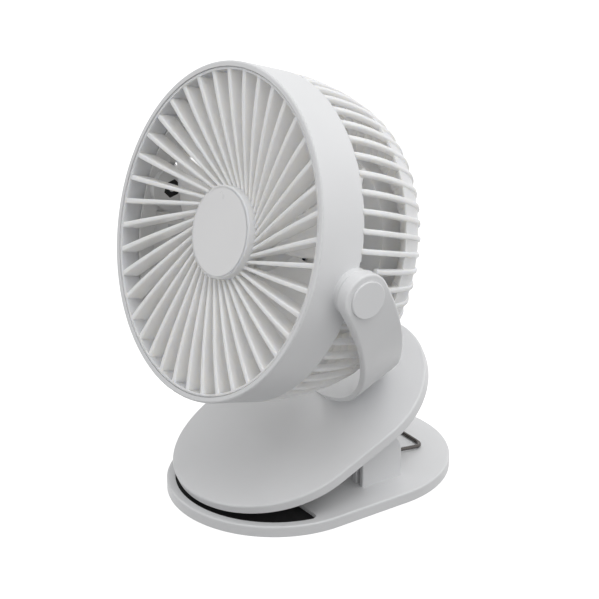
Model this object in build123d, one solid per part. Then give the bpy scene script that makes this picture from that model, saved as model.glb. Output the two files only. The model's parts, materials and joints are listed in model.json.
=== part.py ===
from build123d import *
from math import acos, asin, atan2, ceil, cos, degrees, hypot, pi, radians, sin, sqrt
import os

os.makedirs("parts", exist_ok=True)

# A clip fan, in millimetres. +Z is up, the fan blows towards -Y, and the origin is the
# middle of the underside of its base. Each group of pieces has its own frame:
#   base: the row frame itself
#   jaw:  origin in the middle of the jaw's top face, y up the slope, z square to the face
#   head: origin on the tilt axis, -y out of the front grille, z towards the head's top

# ---- fits and gaps ----
RUN_FIT = 0.05  # radial clearance of a running fit
SEAT_FIT = 0.05  # clearance round a piece that is pressed or glued into its seat
MOVING_GAP = 0.3  # gap between faces that pass each other
THREAD_FIT = 0.02  # radial clearance of a screw in its pilot hole

# ---- base ----
BASE_END_R = 50.0
BASE_HALF_STRAIGHT = 19.5
BASE_TOP_Z = 5.7
BASE_EDGE_FILLET = 0.9
BASE_RIM = 2.2  # wall left round the underside cover
FOOT_STAND = 0.4  # height of the cover above the table
FOOT_SUNK = 0.4
FOOT_INSET = 4.5
COVER_T = 1.6
WEIGHT_T = 1.4
WEIGHT_INSET = 9.5
BASE_SCREW_R = 1.0
BASE_SCREW_HEAD_R = 1.9
BASE_SCREW_HEAD_T = 0.5
BASE_SCREW_HEAD_SUNK = 0.6
BASE_SCREW_INSET = 5.8
BASE_SCREW_Y = 22.0
BASE_SCREW_BITE = 1.8  # how far the thread reaches into the plate

PAD_R = 46.0
PAD_REAR_Y = -26.7
PAD_CORNER_R = 3.0
PAD_T = 1.0
PAD_BELOW_TOP = 1.7  # the pad's face lies this far below the base's top

# ---- clip hinge ----
PIN_Y = 16.2
PIN_Z = 18.5
PIN_R = 1.75
PIN_BLIND = 1.4  # depth of the blind seat in each outer lug
LUG_OUTER_X = 34.9
LUG_OUTER_T = 2.6
LUG_INNER_T = 3.4
LUG_R = 11.0
LUG_FILLET = 0.6
EAR_T = 1.8
EAR_R = 7.5
SLEEVE_CLEARANCE = 0.4  # gap between the sleeve and the spring's coils

# ---- torsion spring: two coils joined by a U that bears on the base ----
WIRE_R = 0.9
COIL_R = 7.2
COIL_PITCH = 2.4
COIL_TURNS = 2
COIL_LUG_GAP = 1.1  # gap between the coil's outer end and the inner lug
SPRING_REAR_Y = 52.2
SPRING_BEND_R = 4.0
SPRING_UP_ANGLE = 45.0  # slope of the legs that press the jaw
SPRING_STEP = 0.5  # spacing of the points that the spring's gap is measured on

# ---- jaw plate ----
JAW_TILT = 23.37
JAW_PIN_BACK = 13.87  # pin behind the middle of the plate, along the plate
JAW_PIN_DROP = 26.18  # pin below the middle of the plate's top face
JAW_END_R = 49.5
JAW_HALF_STRAIGHT = 15.2
JAW_DOME_R = 250.0  # the plate curves down to its sides
JAW_T = 5.0
JAW_TOP_FILLET = 1.0
JAW_BOTTOM_FILLET = 0.6
JAW_SEAT_DROP = 7.2  # flat seat of the bracket, below the middle of the plate's top face
JAW_PAD_INSET = 4.2
JAW_PAD_T = 4.2
JAW_PAD_FILLET = 0.5
JAW_PAD_REAR = -14.0
BRACKET_T = 2.0
BRACKET_FRONT = 3.0
BRACKET_REAR = 46.0
BRACKET_CORNER = 2.0
EAR_ROOT = 9.5  # half the width of an ear where it leaves the bracket
JAW_SCREW_R = 1.1
JAW_SCREW_HEAD_R = 2.1
JAW_SCREW_HEAD_T = 1.0
JAW_SCREW_X = 9.0
JAW_SCREW_FRONT = 18.5
JAW_SCREW_REAR = 40.0
JAW_SCREW_COVER = 1.5  # plate left over the screw's tip

# ---- yoke ----
ARM_CLEARANCE = 3.4  # gap between the shroud's rim and the arm
ARM_T = 6.0
ARM_V = 14.76  # tilt axis along the jaw plate
ARM_W = 92.46  # tilt axis above the jaw plate
ARM_HEAD_R = 11.2
ARM_EDGE_FILLET = 1.0
STRAP_T = 2.7
STRAP_SUNK = 2.2  # the strap's middle lies this far in the jaw plate
STRAP_POWER = 1.63  # exponent of the strap's superellipse
STRAP_SAMPLES = 9
ROOT_HALF_WIDTH = 12.0
ROOT_FRONT_V = 11.1
ROOT_REAR_V = 44.7
WAIST_V = 30.8  # where the strap's rear edge starts to flare
WAIST_W = 41.0
STRAP_TOP_ABOVE = 0.5  # the strap turns upright this far above the tilt axis
WEDGE_TOP_DROP = 9.5  # the arm thins from 6 mm to the strap between these two drops
WEDGE_END_DROP = 24.5

# ---- tilt pivot ----
HEAD_TILT = 17.94
PIVOT_SCREW_R = 2.5
PIVOT_SCREW_HEAD_R = 5.0
PIVOT_SCREW_HEAD_T = 1.6
PIVOT_SCREW_SLOT = 1.0
PIVOT_THREAD_R = 1.6
PIVOT_WEB = 2.3  # arm thickness left under the screw's head
PIVOT_ROOM = 0.4  # play round the screw's head inside the arm
CAP_R = 8.35
CAP_PROUD = 1.0
CAP_SUNK = 1.1
CAP_FILLET = 0.5
WASHER_T = 0.8
WASHER_R = 9.0
COLLAR_R = 9.0
COLLAR_T = 0.5
BOSS_R = 10.2
BOSS_SUNK = 2.8  # the boss reaches this far inside the shroud's wall
BOSS_FILLET = 0.8
NUT_R = 4.5  # across the corners
NUT_T = 2.4

# ---- shroud ----
FRONT_Y = -22.1
SHROUD_LENGTH = 22.75
SHROUD_FRONT_R = 74.6
SHROUD_TAPER = 1.2  # the rear edge is this much smaller in radius
SHROUD_WALL = 3.6
SHROUD_RIM_FILLET = 0.8
GRILLE_SEAT_WALL = 2.9  # rim left round the grille
CAGE_SEAT_WALL = 1.8
CAGE_SEAT_DEPTH = 5.0
RIM_GROOVE_WIDTH = 0.4  # shadow groove between the rim and the grille's ring
RIM_GROOVE_DEPTH = 1.2

# ---- front grille ----
GRILLE_RECESS = 0.3
GRILLE_RING_T = 1.0
GRILLE_RING_DEPTH = 9.5
VANES = 40
VANE_FIRST_ANGLE = 7.1
VANE_TIP_T = 2.4
VANE_HUB_T = 1.4
VANE_FILLET = 0.6
VANE_OFFSET = 12.3  # distance of a vane's line from the fan's axis
VANE_TIP_RECESS = 0.6  # vane's front edge behind the rim, at its tip
VANE_CREST_RECESS = 1.3
VANE_MIDDLE_RECESS = 3.4
VANE_HUB_RECESS = 6.7
VANE_TIP_DEPTH = 8.2
VANE_HUB_DEPTH = 4.5
VANE_CREST_SHARE = 0.75  # places along the vane, from its hub end to its tip
VANE_MIDDLE_SHARE = 0.40
HUB_R = 20.7
HUB_RECESS = 3.03
HUB_DEPTH = 8.25
HUB_WALL = 1.6
HUB_FACE_T = 2.4
HUB_FILLET = 0.8
HUB_LIP = 1.3  # hub's rim round the badge
BADGE_T = 1.0

# ---- rear cage ----
CAGE_DEPTH = 51.2
CAGE_SHOULDER_DEPTH = 36.0
CAGE_SHOULDER_INSET = 8.1  # shoulder's radius is this much less than the shroud's rear
CAGE_BACK_REACH = 1.3  # flat back of the ribs, outside the drum
RIBS = 54
RIB_WIDTH = 2.4
RIB_T = 2.6
RIB_FILLET = 0.8
BOWL_SUNK = 1.0  # the closed rear bowl lies this far below the ribs' outside
BOWL_T = 1.2
BOWL_DEPTH = 21.0  # bowl's front edge ahead of the cage's back
CAGE_RING_T = 2.0
CAGE_RING_REACH = 2.2
BOSS_CLEARANCE = 1.8
DRUM_R = 41.1
DRUM_WALL = 1.8
DRUM_DEPTH = 12.5
DRUM_FRONT_T = 1.8
BACK_COVER_EDGE = 0.9  # drum wall left round the cover
BACK_COVER_T = 2.0
COVER_POST_R = 2.8
COVER_POST_GAP = 0.9  # between a post and the drum's wall
COVER_SCREW_R = 1.0
COVER_SCREW_HEAD_R = 1.9
COVER_SCREW_HEAD_T = 0.8
COVER_SCREW_HEAD_SUNK = 1.0
COVER_SCREW_BITE = 5.0

# ---- motor and impeller ----
MOTOR_R = 12.0
MOTOR_LENGTH = 26.0
MOTOR_WALL = 1.2
MOTOR_CUP_WALL = 1.8
MOTOR_CUP_SHORT = 10.0  # the can stands this far out of its cup
BUSH_R = 3.4
BUSH_LENGTH = 3.0
ARMATURE_R = 7.8
ARMATURE_LENGTH = 12.0
ARMATURE_POLES = 5
MAGNET_LENGTH = 14.0
MAGNET_GAP = 0.5
MAGNET_CUT = 3.0
SHAFT_R = 1.5
IMPELLER_TIP_GAP = 3.0  # between the blades' tips and the tilt bosses
IMPELLER_MIDDLE_Y = 4.0
IMPELLER_HUB_R = 19.0
IMPELLER_HUB_WALL = 1.6
IMPELLER_HUB_FILLET = 2.5
IMPELLER_HUB_FRONT = 11.0  # hub's reach in front of and behind the blades' middle
IMPELLER_HUB_REAR = 10.5
IMPELLER_BOSS_R = 4.2
BLADES = 7
BLADE_FIRST_ANGLE = 21.4
BLADE_T = 1.4
BLADE_ROOT_CHORD = 19.0
BLADE_MIDDLE_CHORD = 35.0
BLADE_TIP_CHORD = 46.0
BLADE_ROOT_PITCH = 44.0
BLADE_MIDDLE_PITCH = 31.0
BLADE_TIP_PITCH = 23.0
BLADE_MIDDLE_SWEEP = 3.0
BLADE_TIP_SWEEP = 9.0
CLIP_R = 3.4
CLIP_T = 0.8
SHAFT_PROUD = 0.8

# ---- electrics ----
BATTERY_LENGTH = 42.0
BATTERY_WIDTH = 26.0
BATTERY_T = 6.5
BATTERY_BOTTOM_Z = 4.5
BATTERY_CORNER = 2.0
BOARD_LENGTH = 40.0
BOARD_WIDTH = 25.0
BOARD_T = 1.2
BOARD_TOP_Z = -5.0
STANDOFF_R = 2.0
STANDOFF_INSET = 3.0
STANDOFF_PIN_R = 0.9
STANDOFF_PIN_PROUD = 0.5
BUTTON_Z = -14.0
BUTTON_R = 6.0
BUTTON_FLANGE_R = 7.2
BUTTON_FLANGE_T = 0.9
BUTTON_PROUD = 1.2
BUTTON_STEM_R = 2.0
BUTTON_STEM_L = 0.6  # stem between the button's flange and the switch, when pressed
BUTTON_TRAVEL = 0.8
BUTTON_FLOAT = 0.1
SWITCH_SIDE = 5.2
SWITCH_T = 2.4
LENS_X = 13.0
LENS_R = 1.4
PORT_Z = -26.5
PORT_LENGTH = 9.0
PORT_HEIGHT = 3.2
PORT_WALL = 0.4
PORT_CLEARANCE = 0.25

# ---- worked out from the sizes above ----
PAD_TOP_Z = BASE_TOP_Z - PAD_BELOW_TOP
FOOT_TOP_Z = FOOT_STAND + FOOT_SUNK
COVER_TOP_Z = FOOT_STAND + COVER_T
BASE_SCREW_HEAD_Z = FOOT_TOP_Z + BASE_SCREW_HEAD_SUNK
LUG_OUTER_FACE = LUG_OUTER_X - LUG_OUTER_T
SLOT_WIDTH = EAR_T + 2 * MOVING_GAP
LUG_INNER_FACE = LUG_OUTER_FACE - SLOT_WIDTH - LUG_INNER_T
SLEEVE_R = COIL_R - WIRE_R - SLEEVE_CLEARANCE
COIL_REACH = COIL_PITCH * (COIL_TURNS + 0.5 - SPRING_UP_ANGLE / 360)
COIL_INNER_X = LUG_INNER_FACE - COIL_LUG_GAP - WIRE_R - COIL_REACH
BRACKET_UNDER = -JAW_SEAT_DROP - BRACKET_T
SHROUD_REAR_R = SHROUD_FRONT_R - SHROUD_TAPER
SHROUD_INNER_R = SHROUD_REAR_R - SHROUD_WALL
GRILLE_SEAT_R = SHROUD_FRONT_R - GRILLE_SEAT_WALL
GRILLE_SEAT_DEPTH = GRILLE_RECESS + GRILLE_RING_DEPTH + 2 * SEAT_FIT
CAGE_SEAT_R = SHROUD_REAR_R - CAGE_SEAT_WALL
BADGE_R = HUB_R - HUB_LIP
HUB_REAR_Y = FRONT_Y + HUB_RECESS + HUB_DEPTH
CAGE_SHOULDER_R = SHROUD_REAR_R - CAGE_SHOULDER_INSET
CAGE_BACK_R = DRUM_R + CAGE_BACK_REACH
BACK_COVER_R = DRUM_R - BACK_COVER_EDGE
COVER_POST_AT = DRUM_R - DRUM_WALL - COVER_POST_R - COVER_POST_GAP
CAGE_FRONT_Y = FRONT_Y + SHROUD_LENGTH
BACK_Y = CAGE_FRONT_Y + CAGE_DEPTH
DRUM_FRONT_Y = BACK_Y - DRUM_DEPTH
BACK_COVER_Y = BACK_Y - BACK_COVER_T
BUTTON_FLANGE_Y = BACK_COVER_Y - BUTTON_FLOAT
BUTTON_FOOT_Y = BUTTON_FLANGE_Y - BUTTON_FLANGE_T - BUTTON_STEM_L
BOARD_REAR_Y = BUTTON_FOOT_Y - BUTTON_TRAVEL - BUTTON_FLOAT - SWITCH_T
BOARD_FRONT_Y = BOARD_REAR_Y - BOARD_T
MOTOR_REAR_Y = DRUM_FRONT_Y
MOTOR_FRONT_Y = MOTOR_REAR_Y - MOTOR_LENGTH
ARM_INNER_X = SHROUD_FRONT_R + ARM_CLEARANCE
ARM_OUTER_X = ARM_INNER_X + ARM_T
WASHER_FACE_X = ARM_INNER_X - MOVING_GAP
COLLAR_FACE_X = WASHER_FACE_X - WASHER_T
BOSS_FACE_X = COLLAR_FACE_X - COLLAR_T
BOSS_ROOT_X = SHROUD_INNER_R - BOSS_SUNK
IMPELLER_R = BOSS_ROOT_X - IMPELLER_TIP_GAP
PIVOT_HEAD_X = ARM_INNER_X + PIVOT_WEB
IMPELLER_FRONT_Y = IMPELLER_MIDDLE_Y - IMPELLER_HUB_FRONT

JAW_PLACE = (
    Pos(0, PIN_Y, PIN_Z) * Rot(JAW_TILT, 0, 0) * Pos(0, -JAW_PIN_BACK, JAW_PIN_DROP)
)
HEAD_PLACE = JAW_PLACE * Pos(0, ARM_V, ARM_W) * Rot(-JAW_TILT - HEAD_TILT, 0, 0)

UP_FROM_ZERO = (Align.CENTER, Align.CENTER, Align.MIN)
TURN_TO = {"x": Rot(0, 90, 0), "y": Rot(-90, 0, 0), "z": Rot(0, 0, 0)}


# ---- shared shapes ----
def rod(axis, r, start, end, at=(0, 0), bore=0):
    """A round bar along an axis, with its middle line at the other two coordinates."""
    place = {
        "x": Pos(start, at[0], at[1]),
        "y": Pos(at[0], start, at[1]),
        "z": Pos(at[0], at[1], start),
    }[axis]
    bar = Cylinder(r, end - start, align=UP_FROM_ZERO)
    if bore:
        bar -= Cylinder(bore, end - start, align=UP_FROM_ZERO)
    return place * TURN_TO[axis] * bar


def block(x, y, z):
    """A box between pairs of limits."""
    size = [limits[1] - limits[0] for limits in (x, y, z)]
    return Pos(x[0], y[0], z[0]) * Box(*size, align=(Align.MIN,) * 3)


def both_sides(piece):
    """The piece and its mirror image across the middle plane."""
    return [piece, mirror(piece, about=Plane.YZ)]


def join(pieces):
    """One shape out of several that touch."""
    pieces = list(pieces)
    return pieces[0] + pieces[1:] if len(pieces) > 1 else pieces[0]


def group(pieces):
    """Separate solids kept together as one node."""
    return Compound(children=[Solid(s.wrapped) for p in pieces for s in p.solids()])


def around(piece, count, first=0.0):
    """Copies of a piece turned about the head's own axis."""
    return [Rot(0, -first - 360 * k / count, 0) * piece for k in range(count)]


def side_slab(outline, half_width):
    """An outline drawn in y and z, pulled out to both sides."""
    return extrude(Plane.YZ * outline, amount=half_width, both=True)


def stadium(r, half_straight, z0, z1):
    """The base's outline: two half rounds and two straight sides."""
    outline = Circle(r).face()
    straight = Rectangle(2 * r, 2 * half_straight)
    ends = [Pos(0, s * half_straight) * outline for s in (-1, 1)]
    return Pos(0, 0, z0) * extrude(straight + ends, amount=z1 - z0)


# ---- base ----
def pad_outline(spare=0.0):
    """The pad's front is round with the base's end, and its rear is cut straight."""
    disc = Pos(0, -BASE_HALF_STRAIGHT) * Circle(PAD_R + spare)
    depth = PAD_REAR_Y + spare + BASE_HALF_STRAIGHT + PAD_R + spare
    cut = Pos(0, PAD_REAR_Y + spare) * Rectangle(
        4 * PAD_R, depth, align=(Align.CENTER, Align.MAX)
    )
    shape = disc & cut
    corners = shape.vertices().group_by(Axis.Y)[-1]
    return fillet(corners, PAD_CORNER_R + spare)


def base_screw_places():
    x = BASE_END_R - BASE_SCREW_INSET
    return [(sx * x, sy * BASE_SCREW_Y) for sx in (-1, 1) for sy in (-1, 1)]


def weight_shape(spare=0.0):
    body = stadium(
        BASE_END_R - WEIGHT_INSET + spare, BASE_HALF_STRAIGHT, COVER_TOP_Z, COVER_TOP_Z + WEIGHT_T
    )
    front = PAD_REAR_Y + PAD_CORNER_R
    far = 2 * BASE_END_R
    return body & block((-far, far), (front - spare, far * 2), (0, 2 * BASE_TOP_Z))


def lug(inner_face, outer_face):
    """An upright plate on the base with a round top, concentric with the hinge pin."""
    plate = block(
        (inner_face, outer_face),
        (PIN_Y - LUG_R, PIN_Y + LUG_R),
        (BASE_TOP_Z - WEIGHT_T / 2, PIN_Z),
    )
    plate += rod("x", LUG_R, inner_face, outer_face, (PIN_Y, PIN_Z))
    faces = plate.faces().filter_by(Axis.X)
    rim = [e for f in faces for e in f.edges() if e.center().Z > BASE_TOP_Z]
    return fillet(rim, LUG_FILLET)


def make_base_plate():
    plate = stadium(BASE_END_R, BASE_HALF_STRAIGHT, FOOT_STAND, BASE_TOP_Z)
    plate = fillet(plate.edges().group_by(Axis.Z)[-1], BASE_EDGE_FILLET)
    plate -= stadium(
        BASE_END_R - BASE_RIM + SEAT_FIT, BASE_HALF_STRAIGHT, FOOT_STAND, COVER_TOP_Z
    )
    plate -= weight_shape(SEAT_FIT)
    plate -= Pos(0, 0, PAD_TOP_Z - PAD_T) * extrude(pad_outline(SEAT_FIT), BASE_TOP_Z)
    for at in base_screw_places():
        plate -= rod("z", BASE_SCREW_R + THREAD_FIT, 0, COVER_TOP_Z + BASE_SCREW_BITE + 0.1, at)
    outer = lug(LUG_OUTER_FACE, LUG_OUTER_X)
    outer -= rod(
        "x", PIN_R + SEAT_FIT, 0, LUG_OUTER_FACE + PIN_BLIND, (PIN_Y, PIN_Z)
    )
    inner = lug(LUG_INNER_FACE, LUG_INNER_FACE + LUG_INNER_T)
    inner -= rod("x", PIN_R + SEAT_FIT, 0, LUG_OUTER_X, (PIN_Y, PIN_Z))
    return join([plate] + both_sides(outer) + both_sides(inner))


def make_base_cover():
    cover = stadium(BASE_END_R - BASE_RIM, BASE_HALF_STRAIGHT, FOOT_STAND, COVER_TOP_Z)
    cover -= stadium(
        BASE_END_R - FOOT_INSET + SEAT_FIT, BASE_HALF_STRAIGHT, FOOT_STAND, FOOT_TOP_Z
    )
    for at in base_screw_places():
        cover -= rod("z", BASE_SCREW_R + SEAT_FIT, 0, COVER_TOP_Z, at)
        cover -= rod("z", BASE_SCREW_HEAD_R + SEAT_FIT, 0, BASE_SCREW_HEAD_Z, at)
    return cover


def make_base_screws():
    screws = []
    for at in base_screw_places():
        head_z = BASE_SCREW_HEAD_Z - BASE_SCREW_HEAD_T
        head = rod("z", BASE_SCREW_HEAD_R, head_z, BASE_SCREW_HEAD_Z, at)
        screws.append(head + rod("z", BASE_SCREW_R, head_z, COVER_TOP_Z + BASE_SCREW_BITE, at))
    return group(screws)


def make_foot_pad():
    """One rubber sheet under the base, which covers the screws."""
    return stadium(BASE_END_R - FOOT_INSET, BASE_HALF_STRAIGHT, 0, FOOT_TOP_Z)


def make_base_pad():
    pad = extrude(pad_outline(), PAD_T)
    return Pos(0, 0, PAD_TOP_Z - PAD_T) * pad


def make_hinge_pin():
    reach = LUG_OUTER_FACE + PIN_BLIND - SEAT_FIT
    return rod("x", PIN_R, -reach, reach, (PIN_Y, PIN_Z))


def make_spring_sleeve():
    reach = LUG_INNER_FACE - SEAT_FIT
    return rod("x", SLEEVE_R, -reach, reach, (PIN_Y, PIN_Z), bore=PIN_R + RUN_FIT)


# ---- torsion spring ----
def on_coil(turned, lead):
    """Point and direction on a coil: it starts under the pin and winds forward and up."""
    angle = -pi / 2 - turned
    point = Vector(
        COIL_INNER_X + lead * turned, PIN_Y + COIL_R * cos(angle), PIN_Z + COIL_R * sin(angle)
    )
    way = Vector(lead, COIL_R * sin(angle), -COIL_R * cos(angle))
    return point, way.normalized()


def biarc(start, way_in, end, way_out):
    """Two arcs that leave one point and reach another in the given directions."""
    chord = end - start
    square = 2 * (1 - way_in.dot(way_out))
    half = chord.dot(way_in + way_out)
    reach = (-half + sqrt(half * half + square * chord.dot(chord))) / square
    first = start + way_in * reach
    second = end - way_out * reach
    middle = (first + second) * 0.5
    return [
        TangentArc(start, middle, tangent=way_in),
        TangentArc(middle, end, tangent=second - first),
    ]


def spring_half():
    """One side of the spring's middle line, from the middle of the U to the jaw."""
    lead = COIL_PITCH / (2 * pi)
    rest_z = BASE_TOP_Z + WIRE_R
    drop = PIN_Z - rest_z
    run = SPRING_REAR_Y - PIN_Y
    # the lower leg runs from the U's corner to where it is tangent to the coil
    slope = atan2(drop, run) - asin(COIL_R / hypot(drop, run))
    low_turn = slope
    top_turn = 2 * pi * COIL_TURNS + pi - radians(SPRING_UP_ANGLE)
    steps = ceil((top_turn - low_turn) / (pi / 2))
    low = on_coil(low_turn, lead)[0]
    corner = Vector(low.X, SPRING_REAR_Y, rest_z)
    low_way = (low - corner).normalized()
    top_way = Vector(0, cos(radians(SPRING_UP_ANGLE)), sin(radians(SPRING_UP_ANGLE)))
    lean = radians(SPRING_UP_ANGLE - JAW_TILT)
    space = JAW_PIN_DROP + BRACKET_UNDER - WIRE_R - MOVING_GAP
    reach = (space - COIL_R * cos(lean)) / sin(lean)
    marks = [
        on_coil(low_turn + (top_turn - low_turn) * k / steps, lead) for k in range(steps + 1)
    ]
    marks[0] = (low, low_way)
    marks[-1] = (marks[-1][0], top_way)
    path = list(
        FilletPolyline((0, corner.Y, corner.Z), corner, low, radius=SPRING_BEND_R).edges()
    )
    for (start, way_in), (end, way_out) in zip(marks, marks[1:]):
        path += biarc(start, way_in, end, way_out)
    top = marks[-1][0]
    path.append(Line(top, top + top_way * reach))
    return Wire(path)


def least_gap(path):
    """Smallest space between parts of the spring that aren't next to each other."""
    count = ceil(path.length / SPRING_STEP)
    side = [path.position_at(k / count) for k in range(count + 1)]
    whole = [Vector(-p.X, p.Y, p.Z) for p in reversed(side)] + side[1:]
    apart = ceil(4 * WIRE_R / SPRING_STEP)
    pairs = ((a, b) for k, a in enumerate(whole) for b in whole[k + apart :])
    return min((b - a).length for a, b in pairs) - 2 * WIRE_R


def make_torsion_spring():
    path = spring_half()
    print(f"torsion spring: least gap to itself {least_gap(path):.2f} mm")
    start = Plane(origin=path @ 0, z_dir=path % 0)
    half = sweep(start * Circle(WIRE_R), path=path)
    return half + mirror(half, about=Plane.YZ)


# ---- jaw and yoke ----
def tangent_point(centre, r, point, side):
    """Where a line from a point touches a circle, on the chosen side."""
    across = point[0] - centre[0]
    up = point[1] - centre[1]
    angle = atan2(up, across) + side * acos(r / hypot(across, up))
    return (centre[0] + r * cos(angle), centre[1] + r * sin(angle))


def domed_slab(r, top, bottom):
    """The jaw's outline with a given end radius, between two levels that curve down to its sides."""
    length = 4 * JAW_END_R
    rounds = [
        Pos(0, 0, -JAW_DOME_R) * rod("y", JAW_DOME_R + level, -length / 2, length / 2)
        for level in (top, bottom)
    ]
    return stadium(r, JAW_HALF_STRAIGHT, -length / 2, length / 2) & (rounds[0] - rounds[1])


def dome_edges(slab, level):
    """Edges round the slab's curved face at a level."""
    faces = slab.faces().filter_by(GeomType.CYLINDER)
    return [e for f in faces if abs(f.radius - JAW_DOME_R - level) < 0.01 for e in f.edges()]


def strap_point(half_width, half_height, turn):
    """A place on the strap's section, from its upright side (0) to its middle (pi/2)."""
    power = 2 / STRAP_POWER
    top = ARM_W + STRAP_TOP_ABOVE
    return (half_width * cos(turn) ** power, top - half_height * sin(turn) ** power)


def strap_edge(half_width, half_height, start, end):
    turns = [start + (end - start) * k / STRAP_SAMPLES for k in range(STRAP_SAMPLES + 1)]
    return Spline([strap_point(half_width, half_height, turn) for turn in turns])


def yoke_section():
    """One half of the yoke as seen from the front, with its root and its thick arm."""
    outer = (ARM_OUTER_X, ARM_W + STRAP_TOP_ABOVE + STRAP_SUNK)
    inner = (outer[0] - STRAP_T, outer[1] - STRAP_T)
    root_turn = acos((ROOT_HALF_WIDTH / outer[0]) ** (STRAP_POWER / 2))
    wedge_turn = asin(((STRAP_TOP_ABOVE + WEDGE_END_DROP) / inner[1]) ** (STRAP_POWER / 2))
    high = ARM_W + 2 * ARM_HEAD_R
    sunk = -JAW_T / 2
    outline = [
        Line((ARM_OUTER_X, high), strap_point(*outer, 0)),
        strap_edge(*outer, 0, root_turn),
        Polyline(
            strap_point(*outer, root_turn),
            (ROOT_HALF_WIDTH, sunk),
            (0, sunk),
            strap_point(*inner, pi / 2),
        ),
        strap_edge(*inner, pi / 2, wedge_turn),
        Polyline(
            strap_point(*inner, wedge_turn),
            (ARM_INNER_X, ARM_W - WEDGE_TOP_DROP),
            (ARM_INNER_X, high),
            (ARM_OUTER_X, high),
        ),
    ]
    return make_face(outline)


def yoke_side():
    """The yoke as seen from the side: round arm heads on arms that widen downwards."""
    centre = (ARM_V, ARM_W)
    root = (ROOT_FRONT_V, 0)
    waist = (WAIST_V, WAIST_W)
    front = tangent_point(centre, ARM_HEAD_R, root, -1)
    rear = tangent_point(centre, ARM_HEAD_R, waist, 1)
    sunk = -JAW_T
    outline = [
        ThreePointArc(rear, (ARM_V, ARM_W + ARM_HEAD_R), front),
        Polyline(front, root, (ROOT_FRONT_V, sunk), (ROOT_REAR_V, sunk), (ROOT_REAR_V, 0)),
        TangentArc(waist, (ROOT_REAR_V, 0), tangent=(waist[0] - rear[0], waist[1] - rear[1])),
        Line(waist, rear),
    ]
    return make_face(outline)


def outer_rim(arm):
    """Edges all round the arm's outer face and down the strap's outside."""
    return [e for e in arm.edges() if on_outside(e)]


def on_outside(edge):
    """Whether an edge lies on the strap's outer surface, above the root."""
    outer = (ARM_OUTER_X, ARM_W + STRAP_TOP_ABOVE + STRAP_SUNK)
    for share in (0.02, 0.5, 0.98):
        at = edge.position_at(share)
        down = max(0, ARM_W + STRAP_TOP_ABOVE - at.Z)
        spread = (at.X / outer[0]) ** STRAP_POWER + (down / outer[1]) ** STRAP_POWER
        if abs(spread - 1) > 0.004 or at.X < ROOT_HALF_WIDTH + 0.1:
            return False
    return True


def jaw_screw_places():
    return [(s * JAW_SCREW_X, v) for s in (-1, 1) for v in (JAW_SCREW_FRONT, JAW_SCREW_REAR)]


def make_jaw():
    plate = domed_slab(JAW_END_R, 0, -JAW_T)
    plate = fillet(dome_edges(plate, 0), JAW_TOP_FILLET)
    plate = fillet(dome_edges(plate, -JAW_T), JAW_BOTTOM_FILLET)
    side = LUG_OUTER_FACE - MOVING_GAP
    seat = block((-side, side), (BRACKET_FRONT, BRACKET_REAR), (-JAW_SEAT_DROP, -JAW_T / 2))
    deep = 2 * JAW_END_R
    strap = extrude(Plane.XZ * yoke_section(), amount=deep, both=True)
    arm = strap & side_slab(yoke_side(), ARM_OUTER_X)
    arm = fillet(outer_rim(arm), ARM_EDGE_FILLET)
    pivot = (ARM_V, ARM_W)
    arm -= rod("x", PIVOT_SCREW_R + RUN_FIT, 0, ARM_OUTER_X, pivot)
    arm -= rod("x", PIVOT_SCREW_HEAD_R + PIVOT_ROOM, PIVOT_HEAD_X, ARM_OUTER_X, pivot)
    arm -= rod("x", CAP_R + SEAT_FIT, ARM_OUTER_X - CAP_SUNK, ARM_OUTER_X, pivot)
    jaw = join([plate, seat] + both_sides(arm))
    for at in jaw_screw_places():
        jaw -= rod("z", JAW_SCREW_R + THREAD_FIT, -JAW_SEAT_DROP, 0.1 - JAW_SCREW_COVER, at)
    return jaw


def make_jaw_bracket():
    top = -JAW_SEAT_DROP
    outer_x = LUG_OUTER_FACE - MOVING_GAP
    inner_x = outer_x - EAR_T
    plate = block((-outer_x, outer_x), (BRACKET_FRONT, BRACKET_REAR), (BRACKET_UNDER, top))
    plate = fillet(plate.edges().filter_by(Axis.Z), BRACKET_CORNER)
    pin = (JAW_PIN_BACK, -JAW_PIN_DROP)
    roots = [(JAW_PIN_BACK + s * EAR_ROOT, BRACKET_UNDER) for s in (-1, 1)]
    sides = [tangent_point(pin, EAR_R, root, s) for root, s in zip(roots, (1, -1))]
    outline = make_face(Polyline(roots[0], sides[0], sides[1], roots[1], roots[0]))
    outline += Pos(*pin) * Circle(EAR_R)
    far = 2 * JAW_PIN_DROP
    ear = side_slab(outline, outer_x) & block((inner_x, outer_x), (-far, far), (-far, far))
    bracket = join([plate] + both_sides(ear))
    bracket -= rod("x", PIN_R + RUN_FIT, -outer_x, outer_x, pin)
    for at in jaw_screw_places():
        bracket -= rod("z", JAW_SCREW_R + SEAT_FIT, BRACKET_UNDER, top, at)
    return bracket


def make_jaw_screws():
    screws = []
    for at in jaw_screw_places():
        head = rod("z", JAW_SCREW_HEAD_R, BRACKET_UNDER - JAW_SCREW_HEAD_T, BRACKET_UNDER, at)
        screws.append(head + rod("z", JAW_SCREW_R, BRACKET_UNDER, -JAW_SCREW_COVER, at))
    return group(screws)


def make_jaw_pad():
    far = 2 * JAW_END_R
    under = -JAW_T - JAW_PAD_T
    pad = domed_slab(JAW_END_R - JAW_PAD_INSET, -JAW_T, under)
    pad &= block((-far, far), (-far, JAW_PAD_REAR), (-far, far))
    return fillet(dome_edges(pad, under), JAW_PAD_FILLET)


def make_pivot_cap():
    cap = rod("x", CAP_R, ARM_OUTER_X - CAP_SUNK, ARM_OUTER_X + CAP_PROUD, (ARM_V, ARM_W))
    return fillet(cap.edges().group_by(Axis.X)[-1], CAP_FILLET)


# ---- tilting head ----
def turned(*outline):
    """A ring whose section is drawn in radius and y."""
    return revolve(make_face(Polyline(*outline, outline[0])), Axis.Y)


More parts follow.
